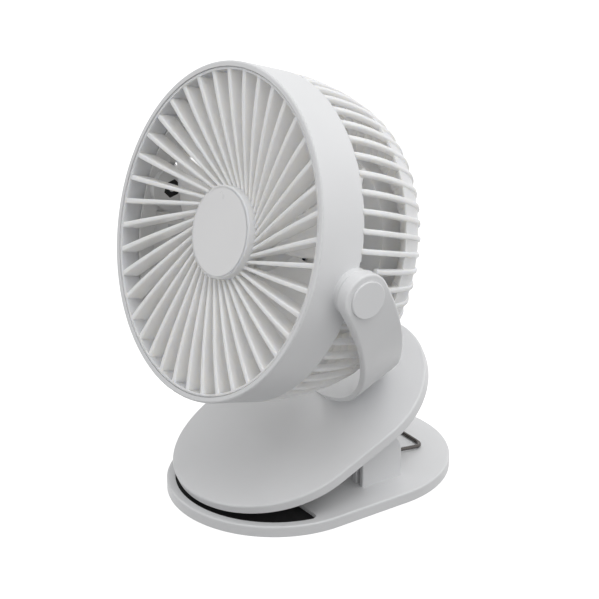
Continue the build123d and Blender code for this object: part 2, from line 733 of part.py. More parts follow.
def make_shroud():
    band = turned(
        (SHROUD_INNER_R, FRONT_Y),
        (SHROUD_FRONT_R, FRONT_Y),
        (SHROUD_REAR_R, CAGE_FRONT_Y),
        (CAGE_SEAT_R, CAGE_FRONT_Y),
        (CAGE_SEAT_R, CAGE_FRONT_Y - CAGE_SEAT_DEPTH),
        (SHROUD_INNER_R, CAGE_FRONT_Y - CAGE_SEAT_DEPTH),
    )
    rim = band.edges().filter_by(GeomType.CIRCLE).group_by(Axis.Y)[0].sort_by(SortBy.RADIUS)[-1]
    band = fillet(rim, SHROUD_RIM_FILLET)
    boss = rod("x", BOSS_R, BOSS_ROOT_X, BOSS_FACE_X)
    boss = fillet(boss.edges().group_by(Axis.X)[-1], BOSS_FILLET)
    boss += rod("x", COLLAR_R, BOSS_FACE_X, COLLAR_FACE_X)
    shroud = join([band] + both_sides(boss))
    shroud -= rod("y", GRILLE_SEAT_R, FRONT_Y - 1, FRONT_Y + GRILLE_SEAT_DEPTH)
    groove_r = GRILLE_SEAT_R + RIM_GROOVE_WIDTH
    shroud -= rod("y", groove_r, FRONT_Y - 1, FRONT_Y + RIM_GROOVE_DEPTH)
    bore = rod("x", PIVOT_THREAD_R + SEAT_FIT, BOSS_ROOT_X - 5, COLLAR_FACE_X)
    pocket = Pos(BOSS_ROOT_X, 0, 0) * Rot(0, 90, 0) * extrude(
        RegularPolygon(NUT_R + SEAT_FIT, 6), amount=NUT_T
    )
    return shroud - both_sides(bore + pocket)


def make_pivot_nuts():
    nut = Pos(BOSS_ROOT_X, 0, 0) * Rot(0, 90, 0) * extrude(RegularPolygon(NUT_R, 6), amount=NUT_T)
    nut -= rod("x", PIVOT_THREAD_R + THREAD_FIT, BOSS_ROOT_X, COLLAR_FACE_X)
    return group(both_sides(nut))


def make_friction_washers():
    washer = rod("x", WASHER_R, COLLAR_FACE_X, WASHER_FACE_X, bore=PIVOT_SCREW_R + SEAT_FIT)
    return group(both_sides(washer))


def make_pivot_screws():
    head_x = PIVOT_HEAD_X + PIVOT_ROOM / 4
    top_x = head_x + PIVOT_SCREW_HEAD_T
    screw = rod("x", PIVOT_THREAD_R, BOSS_ROOT_X, COLLAR_FACE_X)
    screw += rod("x", PIVOT_SCREW_R, COLLAR_FACE_X, head_x)
    screw += rod("x", PIVOT_SCREW_HEAD_R, head_x, top_x)
    slot = PIVOT_SCREW_SLOT / 2
    screw -= block(
        (top_x - PIVOT_SCREW_HEAD_T / 2, top_x + 1),
        (-2 * PIVOT_SCREW_HEAD_R, 2 * PIVOT_SCREW_HEAD_R),
        (-slot, slot),
    )
    return group(both_sides(screw))


def make_vane():
    """A flat blade that passes the fan's axis at a distance, with a curved front edge."""
    ring_middle = GRILLE_SEAT_R - SEAT_FIT - GRILLE_RING_T / 2
    start = sqrt((HUB_R - HUB_WALL / 2) ** 2 - VANE_OFFSET**2)
    end = sqrt(ring_middle**2 - VANE_OFFSET**2)
    front = [
        (start, FRONT_Y + VANE_HUB_RECESS),
        (start + (end - start) * VANE_MIDDLE_SHARE, FRONT_Y + VANE_MIDDLE_RECESS),
        (start + (end - start) * VANE_CREST_SHARE, FRONT_Y + VANE_CREST_RECESS),
        (end, FRONT_Y + VANE_TIP_RECESS),
    ]
    rear = [
        front[-1],
        (end, front[-1][1] + VANE_TIP_DEPTH),
        (start, front[0][1] + VANE_HUB_DEPTH),
        front[0],
    ]
    side = make_face([Spline(front), Polyline(*rear)])
    plan = make_face(
        Polyline(
            (start, VANE_HUB_T / 2),
            (start, -VANE_HUB_T / 2),
            (end, -VANE_TIP_T / 2),
            (end, VANE_TIP_T / 2),
            (start, VANE_HUB_T / 2),
        )
    )
    vane = extrude(side, amount=VANE_TIP_T, both=True)
    vane &= extrude(Plane.XZ * plan, amount=-FRONT_Y, both=True)
    front_edges = vane.edges().filter_by(GeomType.BSPLINE)
    vane = Pos(0, 0, -VANE_OFFSET) * fillet(front_edges, VANE_FILLET)
    lean = degrees(asin(VANE_OFFSET / ring_middle))
    return Rot(0, -lean, 0) * vane


def make_front_grille():
    ring_r = GRILLE_SEAT_R - SEAT_FIT
    ring_y = FRONT_Y + GRILLE_RECESS
    ring = rod("y", ring_r, ring_y, ring_y + GRILLE_RING_DEPTH, bore=ring_r - GRILLE_RING_T)
    face_y = FRONT_Y + HUB_RECESS
    hub = turned(
        (0, face_y + BADGE_T),
        (BADGE_R + SEAT_FIT, face_y + BADGE_T),
        (BADGE_R + SEAT_FIT, face_y),
        (HUB_R, face_y),
        (HUB_R, HUB_REAR_Y),
        (HUB_R - HUB_WALL, HUB_REAR_Y),
        (HUB_R - HUB_WALL, face_y + HUB_FACE_T),
        (0, face_y + HUB_FACE_T),
    )
    rim = hub.edges().filter_by(GeomType.CIRCLE).group_by(Axis.Y)[0].sort_by(SortBy.RADIUS)[-1]
    hub = fillet(rim, HUB_FILLET)
    return join([ring, hub] + around(make_vane(), VANES, VANE_FIRST_ANGLE))


def make_hub_badge():
    face_y = FRONT_Y + HUB_RECESS
    return rod("y", BADGE_R, face_y, face_y + BADGE_T)


# ---- rear cage ----
def inset_arc(arc, inset):
    """The same arc with a smaller radius."""
    middle = arc.arc_center
    share = 1 - inset / arc.radius
    return ThreePointArc(*[middle + (arc.position_at(t) - middle) * share for t in (0, 0.5, 1)])


def cage_curve():
    """The ribs' outside, as a rounded belly and a shoulder that turns flat at the back."""
    back = (CAGE_BACK_R, BACK_Y)
    bend = (CAGE_SHOULDER_R, CAGE_FRONT_Y + CAGE_SHOULDER_DEPTH)
    shoulder = TangentArc(back, bend, tangent=(1, 0))
    return shoulder, TangentArc(bend, (SHROUD_REAR_R, CAGE_FRONT_Y), tangent=shoulder % 1)


def cage_strip(outside, inside):
    """A strip that follows the cage's curve between two depths, and runs into the drum's wall."""
    foot_r = DRUM_R - DRUM_WALL / 4
    outer = [inset_arc(arc, outside) if outside else arc for arc in cage_curve()]
    inner = [inset_arc(arc, inside) for arc in cage_curve()]
    foot = [(foot_r, BACK_Y - outside), (foot_r, BACK_Y - inside)]
    return make_face(
        outer + inner + [Polyline(outer[0] @ 0, *foot, inner[0] @ 0), Line(inner[1] @ 1, outer[1] @ 1)]
    )


def make_rib():
    shoulder, belly = cage_curve()
    rib = extrude(cage_strip(0, RIB_T), amount=RIB_WIDTH / 2, both=True)
    outside = [
        e
        for e in rib.edges().filter_by(GeomType.CIRCLE)
        if min(abs(e.radius - arc.radius) for arc in (shoulder, belly)) < 0.1
    ]
    rib = fillet(outside, RIB_FILLET)
    far = 2 * SHROUD_FRONT_R
    return rib & block((0, far), (CAGE_FRONT_Y + SEAT_FIT, far), (-far, far))


def make_bowl():
    """The closed back of the cage, a little below the ribs."""
    bowl = revolve(cage_strip(BOWL_SUNK, BOWL_SUNK + BOWL_T), Axis.Y)
    return bowl & rod("y", SHROUD_FRONT_R, BACK_Y - BOWL_DEPTH, BACK_Y)


def post_places():
    spot = COVER_POST_AT * cos(pi / 4)
    return [(sx * spot, sz * spot) for sx in (-1, 1) for sz in (-1, 1)]


def standoff_places():
    x = BOARD_LENGTH / 2 - STANDOFF_INSET
    ends = (BOARD_TOP_Z - STANDOFF_INSET, BOARD_TOP_Z - BOARD_WIDTH + STANDOFF_INSET)
    return [(s * x, z) for s in (-1, 1) for z in ends]


def make_rear_cage():
    seat_r = CAGE_SEAT_R - SEAT_FIT
    wall_y = DRUM_FRONT_Y + DRUM_FRONT_T
    ring = rod(
        "y",
        seat_r,
        CAGE_FRONT_Y - CAGE_SEAT_DEPTH + SEAT_FIT,
        CAGE_FRONT_Y + CAGE_RING_REACH,
        bore=seat_r - CAGE_RING_T,
    )
    drum = turned(
        (0, DRUM_FRONT_Y),
        (DRUM_R, DRUM_FRONT_Y),
        (DRUM_R, BACK_Y),
        (BACK_COVER_R + SEAT_FIT, BACK_Y),
        (BACK_COVER_R + SEAT_FIT, BACK_COVER_Y),
        (DRUM_R - DRUM_WALL, BACK_COVER_Y),
        (DRUM_R - DRUM_WALL, wall_y),
        (0, wall_y),
    )
    cup_r = MOTOR_R + SEAT_FIT
    cup = rod(
        "y", cup_r + MOTOR_CUP_WALL, MOTOR_FRONT_Y + MOTOR_CUP_SHORT, DRUM_FRONT_Y, bore=cup_r
    )
    pieces = [drum, ring, cup, make_bowl()]
    for at in post_places():
        pieces.append(rod("y", COVER_POST_R, wall_y, BACK_COVER_Y, at))
    for at in standoff_places():
        pieces.append(rod("y", STANDOFF_R, wall_y, BOARD_FRONT_Y, at))
        pieces.append(rod("y", STANDOFF_PIN_R, wall_y, BOARD_REAR_Y + STANDOFF_PIN_PROUD, at))
    cage = join(pieces + around(make_rib(), RIBS))
    for at in post_places():
        bottom = BACK_COVER_Y - COVER_SCREW_BITE - 0.1
        cage -= rod("y", COVER_SCREW_R + THREAD_FIT, bottom, BACK_COVER_Y, at)
    notch = BOSS_R + BOSS_CLEARANCE
    for s in (-1, 1):
        ends = sorted((s * (BOSS_ROOT_X - 3), s * SHROUD_FRONT_R))
        cage -= block(ends, (-notch, notch), (-notch, notch))
    return cage


def make_rear_cover():
    cover = rod("y", BACK_COVER_R, BACK_COVER_Y, BACK_Y)
    for at in post_places():
        cover -= rod("y", COVER_SCREW_R + SEAT_FIT, BACK_COVER_Y, BACK_Y, at)
        cover -= rod("y", COVER_SCREW_HEAD_R + SEAT_FIT, BACK_Y - COVER_SCREW_HEAD_SUNK, BACK_Y, at)
    cover -= rod("y", BUTTON_R + RUN_FIT, BACK_COVER_Y, BACK_Y, (0, BUTTON_Z))
    cover -= rod("y", LENS_R + SEAT_FIT, BACK_COVER_Y, BACK_Y, (LENS_X, BUTTON_Z))
    return cover - port_block(PORT_CLEARANCE, BACK_COVER_Y, BACK_Y)


def make_cover_screws():
    top = BACK_Y - COVER_SCREW_HEAD_SUNK + COVER_SCREW_HEAD_T
    screws = []
    for at in post_places():
        head = rod("y", COVER_SCREW_HEAD_R, top - COVER_SCREW_HEAD_T, top, at)
        screws.append(head + rod("y", COVER_SCREW_R, BACK_COVER_Y - COVER_SCREW_BITE, top, at))
    return group(screws)


# ---- electrics, behind the drum's front wall ----
def make_battery():
    front = DRUM_FRONT_Y + DRUM_FRONT_T
    pouch = block(
        (-BATTERY_LENGTH / 2, BATTERY_LENGTH / 2),
        (front, front + BATTERY_T),
        (BATTERY_BOTTOM_Z, BATTERY_BOTTOM_Z + BATTERY_WIDTH),
    )
    return fillet(pouch.edges().filter_by(Axis.Y), BATTERY_CORNER)


def make_circuit_board():
    board = block(
        (-BOARD_LENGTH / 2, BOARD_LENGTH / 2),
        (BOARD_FRONT_Y, BOARD_REAR_Y),
        (BOARD_TOP_Z - BOARD_WIDTH, BOARD_TOP_Z),
    )
    for at in standoff_places():
        board -= rod("y", STANDOFF_PIN_R + SEAT_FIT, BOARD_FRONT_Y, BOARD_REAR_Y, at)
    return board


def make_switch():
    half = SWITCH_SIDE / 2
    return block(
        (-half, half),
        (BOARD_REAR_Y, BOARD_REAR_Y + SWITCH_T),
        (BUTTON_Z - half, BUTTON_Z + half),
    )


def port_block(spare, start, end):
    half_length = PORT_LENGTH / 2 + spare
    half_height = PORT_HEIGHT / 2 + spare
    port = block(
        (-half_length, half_length), (start, end), (PORT_Z - half_height, PORT_Z + half_height)
    )
    return fillet(port.edges().filter_by(Axis.Y), half_height * 0.6)


def make_charging_port():
    shell = port_block(0, BOARD_REAR_Y, BACK_Y)
    return shell - port_block(-PORT_WALL, BOARD_REAR_Y + BOARD_T, BACK_Y)


def make_status_light():
    return rod("y", LENS_R, BOARD_REAR_Y, BACK_Y, (LENS_X, BUTTON_Z))


def make_power_button():
    at = (0, BUTTON_Z)
    button = rod("y", BUTTON_R, BUTTON_FLANGE_Y, BACK_Y + BUTTON_PROUD, at)
    button = fillet(button.edges().group_by(Axis.Y)[-1], BUTTON_PROUD / 2)
    button += rod(
        "y", BUTTON_FLANGE_R, BUTTON_FLANGE_Y - BUTTON_FLANGE_T, BUTTON_FLANGE_Y, at
    )
    return button + rod("y", BUTTON_STEM_R, BUTTON_FOOT_Y, BUTTON_FLANGE_Y, at)


# ---- motor ----
def make_motor_can():
    can_in = MOTOR_R - MOTOR_WALL
    front_in = MOTOR_FRONT_Y + MOTOR_WALL
    return turned(
        (BUSH_R + SEAT_FIT, MOTOR_FRONT_Y),
        (MOTOR_R, MOTOR_FRONT_Y),
        (MOTOR_R, MOTOR_REAR_Y),
        (can_in, MOTOR_REAR_Y),
        (can_in, front_in),
        (BUSH_R + MOTOR_WALL, front_in),
        (BUSH_R + MOTOR_WALL, MOTOR_FRONT_Y + BUSH_LENGTH),
        (BUSH_R + SEAT_FIT, MOTOR_FRONT_Y + BUSH_LENGTH),
    )


def make_motor_end():
    """The disc that closes the can, with a pocket for the rear bush."""
    rear_in = MOTOR_REAR_Y - MOTOR_WALL
    return turned(
        (0, MOTOR_REAR_Y),
        (MOTOR_R - MOTOR_WALL - SEAT_FIT, MOTOR_REAR_Y),
        (MOTOR_R - MOTOR_WALL - SEAT_FIT, rear_in),
        (BUSH_R + MOTOR_WALL, rear_in),
        (BUSH_R + MOTOR_WALL, rear_in - BUSH_LENGTH),
        (BUSH_R + SEAT_FIT, rear_in - BUSH_LENGTH),
        (BUSH_R + SEAT_FIT, rear_in),
        (0, rear_in),
    )


def make_motor_bushes():
    rear_y = MOTOR_REAR_Y - MOTOR_WALL - BUSH_LENGTH
    bushes = [
        rod("y", BUSH_R, y, y + BUSH_LENGTH, bore=SHAFT_R + RUN_FIT)
        for y in (MOTOR_FRONT_Y, rear_y)
    ]
    return group(bushes)


def magnet_span():
    middle = (MOTOR_FRONT_Y + MOTOR_REAR_Y) / 2
    return middle - MAGNET_LENGTH / 2, middle + MAGNET_LENGTH / 2


def make_motor_magnets():
    """Two curved magnets glued in the can, one above the shaft and one below."""
    outer = MOTOR_R - MOTOR_WALL - SEAT_FIT
    ring = rod("y", outer, *magnet_span(), bore=ARMATURE_R + MAGNET_GAP)
    far = 2 * MOTOR_R
    return group(
        [
            ring & block((-far, far), (0, 2 * far), (MAGNET_CUT, far)),
            ring & block((-far, far), (0, 2 * far), (-far, -MAGNET_CUT)),
        ]
    )


def make_armature():
    middle = (MOTOR_FRONT_Y + MOTOR_REAR_Y) / 2
    half = ARMATURE_LENGTH / 2
    core = rod("y", ARMATURE_R, middle - half, middle + half, bore=SHAFT_R)
    for k in range(ARMATURE_POLES):
        slot = block((ARMATURE_R * 0.6, 2 * ARMATURE_R), (0, 2 * MOTOR_REAR_Y), (-0.6, 0.6))
        core -= Rot(0, 360 * k / ARMATURE_POLES, 0) * slot
    return core


def make_motor_shaft():
    clip_y = IMPELLER_FRONT_Y - CLIP_T
    return rod("y", SHAFT_R, clip_y - SHAFT_PROUD, MOTOR_REAR_Y - MOTOR_WALL - RUN_FIT)


# ---- impeller ----
def blade_section(r, chord, pitch, sweep_back):
    """A thin rounded strip across the blade, square to the radius."""
    angle = radians(pitch)
    plane = Plane(
        origin=(r, IMPELLER_MIDDLE_Y, sweep_back), x_dir=(0, sin(angle), cos(angle)), z_dir=(1, 0, 0)
    )
    return plane * SlotOverall(chord, BLADE_T).face()


def make_impeller():
    root_r = IMPELLER_HUB_R - IMPELLER_HUB_WALL - 1
    tip_r = IMPELLER_R + 1
    sections = [
        blade_section(root_r, BLADE_ROOT_CHORD, BLADE_ROOT_PITCH, 0),
        blade_section((root_r + tip_r) / 2, BLADE_MIDDLE_CHORD, BLADE_MIDDLE_PITCH, BLADE_MIDDLE_SWEEP),
        blade_section(tip_r, BLADE_TIP_CHORD, BLADE_TIP_PITCH, BLADE_TIP_SWEEP),
    ]
    far = IMPELLER_R
    trim = rod("y", IMPELLER_R, -far, far, bore=IMPELLER_HUB_R - IMPELLER_HUB_WALL / 2)
    blade = loft(sections) & trim
    rear_y = IMPELLER_MIDDLE_Y + IMPELLER_HUB_REAR
    inner_r = IMPELLER_HUB_R - IMPELLER_HUB_WALL
    front_in = IMPELLER_FRONT_Y + IMPELLER_HUB_WALL
    hub = turned(
        (SHAFT_R + SEAT_FIT, IMPELLER_FRONT_Y),
        (IMPELLER_HUB_R, IMPELLER_FRONT_Y),
        (IMPELLER_HUB_R, rear_y),
        (inner_r, rear_y),
        (inner_r, front_in),
        (IMPELLER_BOSS_R, front_in),
        (IMPELLER_BOSS_R, IMPELLER_MIDDLE_Y),
        (SHAFT_R + SEAT_FIT, IMPELLER_MIDDLE_Y),
    )
    rim = hub.edges().filter_by(GeomType.CIRCLE).group_by(Axis.Y)[0].sort_by(SortBy.RADIUS)[-1]
    hub = fillet(rim, IMPELLER_HUB_FILLET)
    return join([hub] + around(blade, BLADES, BLADE_FIRST_ANGLE))


def make_impeller_clip():
    return rod(
        "y", CLIP_R, IMPELLER_FRONT_Y - CLIP_T, IMPELLER_FRONT_Y, bore=SHAFT_R + THREAD_FIT
    )


BASE = Pos(0, 0, 0)
NODES = {
    "base_plate": (BASE, make_base_plate),
    "base_cover": (BASE, make_base_cover),
    "base_weight": (BASE, weight_shape),
    "base_screws": (BASE, make_base_screws),
    "foot_pad": (BASE, make_foot_pad),
    "base_pad": (BASE, make_base_pad),
    "hinge_pin": (BASE, make_hinge_pin),
    "spring_sleeve": (BASE, make_spring_sleeve),
    "torsion_spring": (BASE, make_torsion_spring),
    "jaw": (JAW_PLACE, make_jaw),
    "jaw_bracket": (JAW_PLACE, make_jaw_bracket),
    "jaw_screws": (JAW_PLACE, make_jaw_screws),
    "jaw_pad": (JAW_PLACE, make_jaw_pad),
    "pivot_caps": (JAW_PLACE, lambda: group(both_sides(make_pivot_cap()))),
    "shroud": (HEAD_PLACE, make_shroud),
    "friction_washers": (HEAD_PLACE, make_friction_washers),
    "pivot_screws": (HEAD_PLACE, make_pivot_screws),
    "pivot_nuts": (HEAD_PLACE, make_pivot_nuts),
    "front_grille": (HEAD_PLACE, make_front_grille),
    "hub_badge": (HEAD_PLACE, make_hub_badge),
    "rear_cage": (HEAD_PLACE, make_rear_cage),
    "rear_cover": (HEAD_PLACE, make_rear_cover),
    "cover_screws": (HEAD_PLACE, make_cover_screws),
    "battery": (HEAD_PLACE, make_battery),
    "circuit_board": (HEAD_PLACE, make_circuit_board),
    "switch": (HEAD_PLACE, make_switch),
    "charging_port": (HEAD_PLACE, make_charging_port),
    "status_light": (HEAD_PLACE, make_status_light),
    "motor_can": (HEAD_PLACE, make_motor_can),
    "motor_end": (HEAD_PLACE, make_motor_end),
    "motor_bushes": (HEAD_PLACE, make_motor_bushes),
    "motor_magnets": (HEAD_PLACE, make_motor_magnets),
    "armature": (HEAD_PLACE, make_armature),
    "motor_shaft": (HEAD_PLACE, make_motor_shaft),
    "impeller": (HEAD_PLACE, make_impeller),
    "impeller_clip": (HEAD_PLACE, make_impeller_clip),
    "power_button": (HEAD_PLACE, make_power_button),
}

for name, (place, make) in NODES.items():
    export_step(place * make(), f"parts/{name}.step")
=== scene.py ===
import bpy
import json
from math import asin, atan2, ceil, cos, hypot, pi, radians, sin, sqrt
from mathutils import Matrix, Vector


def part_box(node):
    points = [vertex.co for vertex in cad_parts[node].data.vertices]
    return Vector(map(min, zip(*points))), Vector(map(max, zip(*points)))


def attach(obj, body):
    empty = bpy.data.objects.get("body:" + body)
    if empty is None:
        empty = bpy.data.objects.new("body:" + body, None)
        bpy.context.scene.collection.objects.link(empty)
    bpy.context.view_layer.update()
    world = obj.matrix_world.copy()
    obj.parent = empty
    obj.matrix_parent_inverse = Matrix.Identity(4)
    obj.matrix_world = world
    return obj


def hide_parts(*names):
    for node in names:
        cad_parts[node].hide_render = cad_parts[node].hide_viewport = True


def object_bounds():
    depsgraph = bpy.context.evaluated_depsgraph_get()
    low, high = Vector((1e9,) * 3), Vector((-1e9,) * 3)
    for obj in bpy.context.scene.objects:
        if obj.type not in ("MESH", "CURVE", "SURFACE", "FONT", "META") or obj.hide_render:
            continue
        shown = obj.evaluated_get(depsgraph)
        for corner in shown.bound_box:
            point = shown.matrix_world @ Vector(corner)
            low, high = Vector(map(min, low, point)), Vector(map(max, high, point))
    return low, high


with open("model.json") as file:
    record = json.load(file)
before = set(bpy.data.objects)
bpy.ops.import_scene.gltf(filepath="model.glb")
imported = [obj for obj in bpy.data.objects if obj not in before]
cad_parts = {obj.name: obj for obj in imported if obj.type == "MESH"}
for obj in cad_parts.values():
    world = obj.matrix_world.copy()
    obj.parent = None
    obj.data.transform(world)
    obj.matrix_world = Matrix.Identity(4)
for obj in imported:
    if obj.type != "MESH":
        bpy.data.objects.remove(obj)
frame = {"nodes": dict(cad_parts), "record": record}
cad_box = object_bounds()

# A clip fan, in metres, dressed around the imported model. Sizes here repeat the model's own.
MM = 0.001

# ---- base and pads ----
BASE_HALF_STRAIGHT = 19.5 * MM
BASE_TOP_Z = 5.7 * MM
PAD_R = 46.0 * MM
PAD_REAR_Y = -26.7 * MM
PAD_CORNER_R = 3.0 * MM
PAD_ROUNDING = 0.35 * MM

# ---- jaw ----
JAW_TILT = radians(23.37)
JAW_PIN_BACK = 13.87 * MM
JAW_PIN_DROP = 26.18 * MM
JAW_END_R = 49.5 * MM
JAW_HALF_STRAIGHT = 15.2 * MM
JAW_DOME_R = 250.0 * MM
JAW_T = 5.0 * MM
JAW_SEAT_DROP = 7.2 * MM
JAW_PAD_INSET = 4.2 * MM
JAW_PAD_T = 4.2 * MM
JAW_PAD_REAR = -14.0 * MM
JAW_PAD_ROUNDING = 0.5 * MM
BRACKET_T = 2.0 * MM

# ---- torsion spring ----
WIRE_R = 0.9 * MM
COIL_R = 7.2 * MM
COIL_PITCH = 2.4 * MM
COIL_TURNS = 2
COIL_INNER_X = 18.8 * MM
SPRING_REAR_Y = 52.2 * MM
SPRING_BEND_R = 4.0 * MM
SPRING_UP_ANGLE = radians(45.0)
SPRING_JAW_ARC = radians(40.0)  # arc of the coil that turns with the jaw's legs
MOVING_GAP = 0.3 * MM
WIRE_SIDES = 20
WIRE_END_TURNS = (0.35, 0.8, 1.25)  # angles, in radians, of the rings that round a wire's end
COIL_STEP = radians(7.5)
LEG_PROUD = 0.012 * MM  # the legs that turn lie this far round the wire that they leave

# ---- thin white plastic, which light shines into ----
MILKY_NODES = ("front_grille", "rear_cage", "impeller")
MILKY_DEPTH = 4.0 * MM  # how far light travels inside it
MILKY_RADIUS = (1.0, 0.95, 0.85)  # share of that depth for red, green and blue

# ---- stage and lights ----
FLOOR_SIZE = 3.0
FLOOR_GAP = 0.02 * MM  # the floor lies this far below the fan
FLOOR_GLOW = 1.0
AMBIENT = 0.70
LIGHT_TARGET = (0, 0, 0.11)
LIGHTS = {  # place, diameter and power
    "top_softbox": ((0.10, 0.10, 1.25), 1.5, 2.0),
    "front_fill": ((-0.10, -1.35, 0.28), 0.9, 1.1),
    "right_softbox": ((0.60, 0.15, 1.20), 0.9, 4.2),
}

# ---- camera: the photograph's viewing angle ----
CAMERA_AT = Vector((0.8135, -0.5763, 0.5433))
CAMERA_AZIMUTH = radians(54.95)
CAMERA_ELEVATION = radians(24.51)
CAMERA_LENS = 145.48


# ---- materials ----
def new_material(name):
    """A material with one Principled shader, and the tools to add nodes to it."""
    material = bpy.data.materials.new(name)
    material.use_nodes = True
    tree = material.node_tree
    shader = next(n for n in tree.nodes if n.type == "BSDF_PRINCIPLED")
    return material, tree, shader


def noise(tree, scale, detail=2.0, roughness=0.5, stretch=(1, 1, 1)):
    """Noise in the piece's own space, in features per metre."""
    place = tree.nodes.new("ShaderNodeTexCoord")
    mapping = tree.nodes.new("ShaderNodeMapping")
    mapping.inputs["Scale"].default_value = stretch
    texture = tree.nodes.new("ShaderNodeTexNoise")
    texture.inputs["Scale"].default_value = scale
    texture.inputs["Detail"].default_value = detail
    texture.inputs["Roughness"].default_value = roughness
    tree.links.new(place.outputs["Object"], mapping.inputs["Vector"])
    tree.links.new(mapping.outputs["Vector"], texture.inputs["Vector"])
    return texture.outputs["Fac"]


def ramp(tree, source, low, high, start=0.3, end=0.7):
    """Colours between two ends, driven by a texture."""
    node = tree.nodes.new("ShaderNodeValToRGB")
    node.color_ramp.elements[0].position = start
    node.color_ramp.elements[0].color = (*low, 1)
    node.color_ramp.elements[1].position = end
    node.color_ramp.elements[1].color = (*high, 1)
    tree.links.new(source, node.inputs["Fac"])
    return node.outputs["Color"]


def spread(tree, source, low, high):
    """Numbers between two limits, driven by a texture."""
    node = tree.nodes.new("ShaderNodeMapRange")
    node.inputs["From Min"].default_value = 0.25
    node.inputs["From Max"].default_value = 0.75
    node.inputs["To Min"].default_value = low
    node.inputs["To Max"].default_value = high
    tree.links.new(source, node.inputs["Value"])
    return node.outputs["Result"]


def bump(tree, shader, source, strength, distance):
    node = tree.nodes.new("ShaderNodeBump")
    node.inputs["Strength"].default_value = strength
    node.inputs["Distance"].default_value = distance
    tree.links.new(source, node.inputs["Height"])
    tree.links.new(node.outputs["Normal"], shader.inputs["Normal"])


def tint(colour, share):
    return tuple(c * share for c in colour)


def moulded(
    name, colour, roughness, texture_size=0.25 * MM, depth=0.004 * MM, mottle=0.015, milky=0.0
):
    """Moulded plastic: a fine skin, slightly uneven gloss and a trace of flow in the colour."""
    material, tree, shader = new_material(name)
    flow = noise(tree, 1 / 0.03, detail=3.0)
    colours = ramp(tree, flow, tint(colour, 1 - mottle), tint(colour, 1 + mottle))
    tree.links.new(colours, shader.inputs["Base Color"])
    gloss = noise(tree, 1 / 0.009, detail=4.0)
    rough = spread(tree, gloss, roughness - 0.04, roughness + 0.04)
    tree.links.new(rough, shader.inputs["Roughness"])
    bump(tree, shader, noise(tree, 1 / texture_size, detail=1.0), 0.35, depth)
    shader.inputs["Subsurface Weight"].default_value = milky
    shader.inputs["Subsurface Radius"].default_value = MILKY_RADIUS
    shader.inputs["Subsurface Scale"].default_value = MILKY_DEPTH
    return material


def metal(name, colour, roughness, grain=(1, 1, 1), grain_size=0.4 * MM, depth=0.003 * MM):
    """Metal with drawing or rolling marks along one direction."""
    material, tree, shader = new_material(name)
    shader.inputs["Metallic"].default_value = 1.0
    marks = noise(tree, 1 / grain_size, detail=3.0, stretch=grain)
    tree.links.new(ramp(tree, marks, tint(colour, 0.86), tint(colour, 1.08)), shader.inputs["Base Color"])
    rough = spread(tree, noise(tree, 1 / 0.004, detail=3.0), roughness - 0.05, roughness + 0.07)
    tree.links.new(rough, shader.inputs["Roughness"])
    bump(tree, shader, marks, 0.5, depth)
    return material


def rubber(name, colour):
    """Matt rubber with a fine pebbled skin and faint grey bloom."""
    material, tree, shader = new_material(name)
    bloom = noise(tree, 1 / 0.006, detail=6.0, roughness=0.65)
    tree.links.new(ramp(tree, bloom, colour, tint(colour, 2.2), 0.4, 0.8), shader.inputs["Base Color"])
    pebble = noise(tree, 1 / 0.0005, detail=2.0)
    tree.links.new(spread(tree, pebble, 0.55, 0.75), shader.inputs["Roughness"])
    shader.inputs["Specular IOR Level"].default_value = 0.35
    bump(tree, shader, pebble, 0.6, 0.03 * MM)
    return material


def wound_core(name):
    """Dark laminations with bands of enamelled copper wire."""
    material, tree, shader = new_material(name)
    shader.inputs["Metallic"].default_value = 0.6
    wires = noise(tree, 1 / 0.0003, detail=1.0, stretch=(1, 0.08, 1))
    colours = ramp(tree, wires, (0.22, 0.08, 0.03), (0.62, 0.28, 0.10))
    tree.links.new(colours, shader.inputs["Base Color"])
    shader.inputs["Roughness"].default_value = 0.35
    bump(tree, shader, wires, 0.7, 0.05 * MM)
    return material


def circuit(name):
    """Green solder mask with the paths of the tracks just visible under it."""
    material, tree, shader = new_material(name)
    tracks = noise(tree, 1 / 0.003, detail=0.0, stretch=(1, 1, 0.4))
    colours = ramp(tree, tracks, (0.02, 0.12, 0.05), (0.05, 0.24, 0.10), 0.48, 0.52)
    tree.links.new(colours, shader.inputs["Base Color"])
    shader.inputs["Roughness"].default_value = 0.3
    bump(tree, shader, tracks, 0.4, 0.02 * MM)
    return material


def light_guide(name):
    """Milky clear plastic."""
    material, tree, shader = new_material(name)
    cloud = noise(tree, 1 / 0.002, detail=2.0)
    colours = ramp(tree, cloud, (0.62, 0.74, 0.64), (0.72, 0.82, 0.74))
    tree.links.new(colours, shader.inputs["Base Color"])
    shader.inputs["Roughness"].default_value = 0.12
    shader.inputs["Transmission Weight"].default_value = 0.5
    return material


